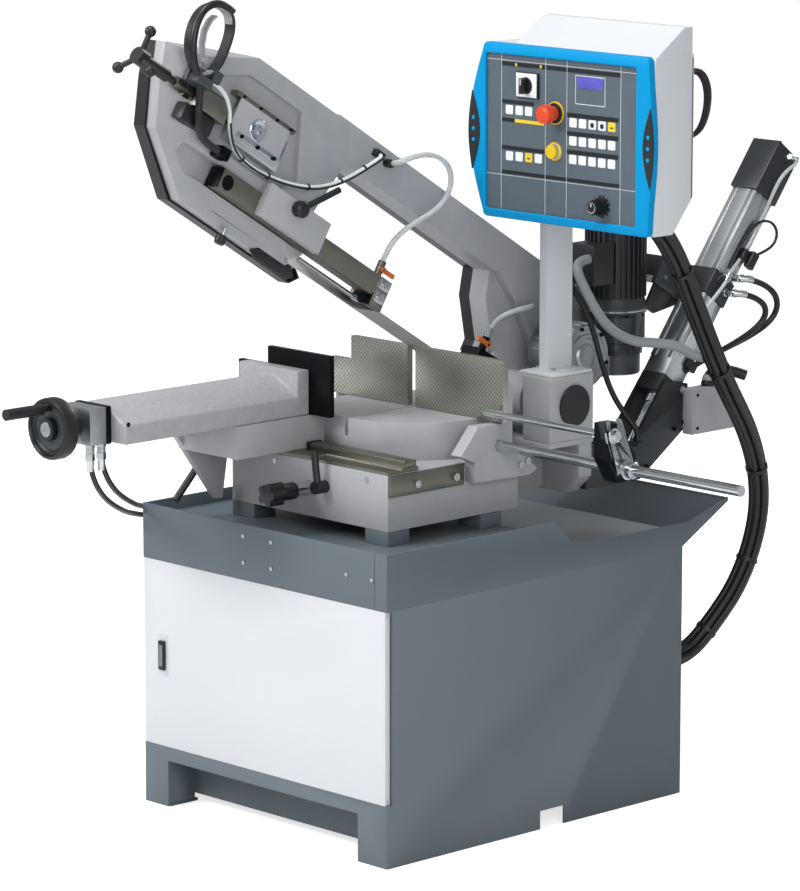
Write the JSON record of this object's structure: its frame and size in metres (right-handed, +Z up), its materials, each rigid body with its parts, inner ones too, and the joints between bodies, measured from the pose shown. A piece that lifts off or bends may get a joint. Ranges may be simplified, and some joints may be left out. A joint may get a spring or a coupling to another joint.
{
  "type": "band saw",
  "caption": "Semi-automatic swivel-head band saw for metal on a steel cabinet, with its bow raised, a screw vise, a bar stop, a lift cylinder and a control panel on a post.",
  "frame": {"origin": "on the floor, in the centre of the four anchor holes under the cabinet", "axes": "+Z up, +X to the right of an operator who faces the machine, +Y from the operator to the back"},
  "size_m": [1.4316, 1.9761, 1.8268],
  "materials": {
    "cabinet_paint": "satin",
    "casting_paint": "satin",
    "white_paint": "satin",
    "frame_blue": "satin",
    "black_iron": "satin",
    "black_steel": "satin",
    "black_knob": "satin",
    "machined_steel": "satin",
    "bright_steel": "polished",
    "cast_aluminium": "satin",
    "tank_paint": "satin",
    "hose_black": "matte",
    "hose_clear": "gloss",
    "signal_red": "gloss",
    "signal_yellow": "gloss",
    "lever_orange": "gloss"
  },
  "bodies": {
    "machine_base": {"cabinet_body": "cabinet_paint", "coolant_tray": "cabinet_paint", "coolant_unit": "tank_paint", "hydraulic_power_pack": "tank_paint", "pedestal_pads": "black_steel", "base_casting": "casting_paint", "vise_rails": "machined_steel", "stop_bracket": "machined_steel", "fixed_jaw_plates": "machined_steel", "stop_rail": "bright_steel"},
    "door": {"cabinet_door": "white_paint"},
    "latch": {"door_latch": "black_steel"},
    "vise_slide_base": {"vise_body": "casting_paint"},
    "vise_ram": {"vise_arm": "casting_paint", "movable_jaw": "machined_steel", "vise_hydraulic_block": "black_iron", "vise_hoses": "hose_clear"},
    "vise_wheel": {"vise_lead_screw": "bright_steel", "vise_handwheel": "black_iron"},
    "vise_lock": {"vise_lock_lever": "black_knob"},
    "vise_clamp": {"vise_clamp_lever": "black_knob"},
    "turret_lock": {"turret_lock_knob": "black_knob"},
    "bar_stop": {"stop_carriage": "black_iron", "stop_rod": "bright_steel"},
    "turret": {"turntable": "casting_paint", "hinge_block": "casting_paint", "hinge_cap": "black_iron", "panel_post": "white_paint", "panel_box": "white_paint", "panel_frame": "frame_blue", "cylinder_bracket": "black_iron", "valve_box": "casting_paint", "cable_bundle": "hose_black", "motor_conduit": "hose_black"},
    "selector": {"selector_knob": "black_knob"},
    "estop": {"estop_button": "signal_red"},
    "start": {"start_button": "signal_yellow"},
    "speed": {"speed_knob": "black_knob"},
    "bow": {"bow_casting": "casting_paint", "blade_cover": "black_steel", "hinge_shaft": "bright_steel", "gearbox": "cast_aluminium", "drive_motor": "black_iron", "saw_blade": "machined_steel", "rear_guide": "machined_steel", "loop_handle": "black_steel", "bow_cable": "hose_black", "guide_hose": "hose_clear", "lift_arm": "black_iron"},
    "band_driver": {"drive_wheel": "machined_steel"},
    "tensioner": {"tension_carriage": "machined_steel"},
    "band_idler": {"idler_wheel": "machined_steel"},
    "tension_wheel": {"tension_knob": "black_steel"},
    "guide": {"guide_arm": "machined_steel"},
    "front_valve": {"front_valve_lever": "lever_orange"},
    "rear_valve": {"rear_valve_lever": "lever_orange"},
    "guide_clamp": {"guide_lever": "black_knob"},
    "trigger": {"handle_trigger": "black_knob"},
    "lift_rod": {"cylinder_rod": "bright_steel"},
    "lift_tube": {"lift_cylinder": "cast_aluminium"}
  },
  "joints": [
    {"name": "door_hinge", "type": "hinge", "parent": "machine_base", "child": "door", "pos_m": [0.38, -0.447, 0.346], "axis": [0, 0, 1], "range_deg": [0, 110]},
    {"name": "latch_turn", "type": "hinge", "parent": "door", "child": "latch", "pos_m": [-0.324, -0.447, 0.344], "axis": [0, 1, 0], "range_deg": [0, 90]},
    {"name": "vise_cross", "type": "slide", "parent": "machine_base", "child": "vise_slide_base", "axis": [1, 0, 0], "range_m": [-0.06, 0], "deforming": ["vise_hoses"]},
    {"name": "vise_slide", "type": "slide", "parent": "vise_slide_base", "child": "vise_ram", "axis": [0, 1, 0], "range_m": [-0.07, 0.213], "deforming": ["vise_hoses"]},
    {"name": "handwheel_turn", "type": "hinge", "parent": "vise_ram", "child": "vise_wheel", "pos_m": [-0.175, -0.884, 0.927], "axis": [0, 1, 0], "range_deg": [-4220, 12800]},
    {"name": "vise_lock", "type": "hinge", "parent": "vise_slide_base", "child": "vise_lock", "pos_m": [-0.284, -0.375, 0.771], "axis": [1, 0, 0], "range_deg": [-60, 0]},
    {"name": "vise_clamp", "type": "hinge", "parent": "machine_base", "child": "vise_clamp", "pos_m": [0.04, -0.32, 0.755], "axis": [0, 1, 0], "range_deg": [0, 90]},
    {"name": "turret_lock_turn", "type": "hinge", "parent": "machine_base", "child": "turret_lock", "pos_m": [-0.01, -0.39, 0.745], "axis": [0, 1, 0], "range_deg": [-360, 360]},
    {"name": "stop_slide", "type": "slide", "parent": "machine_base", "child": "bar_stop", "axis": [1, 0, 0], "range_m": [-0.15, 0.29]},
    {"name": "turret_swivel", "type": "hinge", "parent": "machine_base", "child": "turret", "pos_m": [0, 0, 0.85], "axis": [0, 0, 1], "range_deg": [0, 45], "deforming": ["cable_bundle"]},
    {"name": "selector_turn", "type": "hinge", "parent": "turret", "child": "selector", "pos_m": [0.281, 0.07, 1.613], "axis": [0, 1, 0], "range_deg": [0, 90]},
    {"name": "estop_push", "type": "slide", "parent": "turret", "child": "estop", "axis": [0, 1, 0], "range_m": [0, 0.006], "stiffness_N_per_m": 1200},
    {"name": "start_push", "type": "slide", "parent": "turret", "child": "start", "axis": [0, 1, 0], "range_m": [0, 0.003], "stiffness_N_per_m": 1500},
    {"name": "speed_turn", "type": "hinge", "parent": "turret", "child": "speed", "pos_m": [0.501, 0.07, 1.373], "axis": [0, 1, 0], "range_deg": [-150, 150]},
    {"name": "bow_hinge", "type": "hinge", "parent": "turret", "child": "bow", "pos_m": [0.11, 0.218, 0.898], "axis": [1, 0, 0], "range_deg": [0, 31.6], "deforming": ["motor_conduit"]},
    {"name": "drive_spin", "type": "hinge", "parent": "bow", "child": "band_driver", "pos_m": [0, 0.37568, 0.973], "axis": [1, 0, 0], "continuous": true},
    {"name": "tension_slide", "type": "slide", "parent": "bow", "child": "tensioner", "axis": [0, 0.8517, -0.524], "range_m": [0, 0.004]},
    {"name": "idler_spin", "type": "hinge", "parent": "tensioner", "child": "band_idler", "pos_m": [0, -0.51438, 1.52056], "axis": [1, 0, 0], "continuous": true},
    {"name": "tension_turn", "type": "hinge", "parent": "bow", "child": "tension_wheel", "pos_m": [0.04, -0.8172, 1.71919], "axis": [0, 0.8517, -0.524], "range_deg": [0, 720]},
    {"name": "guide_slide", "type": "slide", "parent": "bow", "child": "guide", "axis": [0, 0.8517, -0.524], "range_m": [-0.1, 0.135], "deforming": ["guide_hose"]},
    {"name": "front_valve_turn", "type": "hinge", "parent": "guide", "child": "front_valve", "pos_m": [0.042, -0.13358, 1.20822], "axis": [1, 0, 0], "range_deg": [0, 90]},
    {"name": "rear_valve_turn", "type": "hinge", "parent": "bow", "child": "rear_valve", "pos_m": [0.042, 0.18733, 1.00845], "axis": [1, 0, 0], "range_deg": [-90, 0]},
    {"name": "guide_clamp_turn", "type": "hinge", "parent": "bow", "child": "guide_clamp", "pos_m": [0.09, -0.41851, 1.37295], "axis": [1, 0, 0], "range_deg": [0, 60]},
    {"name": "trigger_squeeze", "type": "hinge", "parent": "bow", "child": "trigger", "pos_m": [0.072, -0.66731, 1.70329], "axis": [1, 0, 0], "range_deg": [0, 10], "stiffness_Nm_per_rad": 1.5},
    {"name": "rod_swing", "type": "hinge", "parent": "turret", "child": "lift_rod", "pos_m": [0.222, 0.4243, 0.73], "axis": [1, 0, 0], "range_deg": [0, 28.5]},
    {"name": "cylinder_slide", "type": "slide", "parent": "lift_rod", "child": "lift_tube", "axis": [0, 0.6076, 0.7942], "range_m": [0, 0.1415]}
  ],
  "couplings": [
    {"joint": "handwheel_turn", "follows": "vise_slide", "rad_per_m": 1047.2},
    {"joint": "idler_spin", "follows": "drive_spin", "ratio": 1},
    {"joint": "tension_turn", "follows": "tension_slide", "rad_per_m": 3141.6},
    {"joint": "rod_swing", "follows": "bow_hinge", "ratio": 0.886},
    {"joint": "cylinder_slide", "follows": "bow_hinge", "m_per_rad": 0.2545}
  ]
}
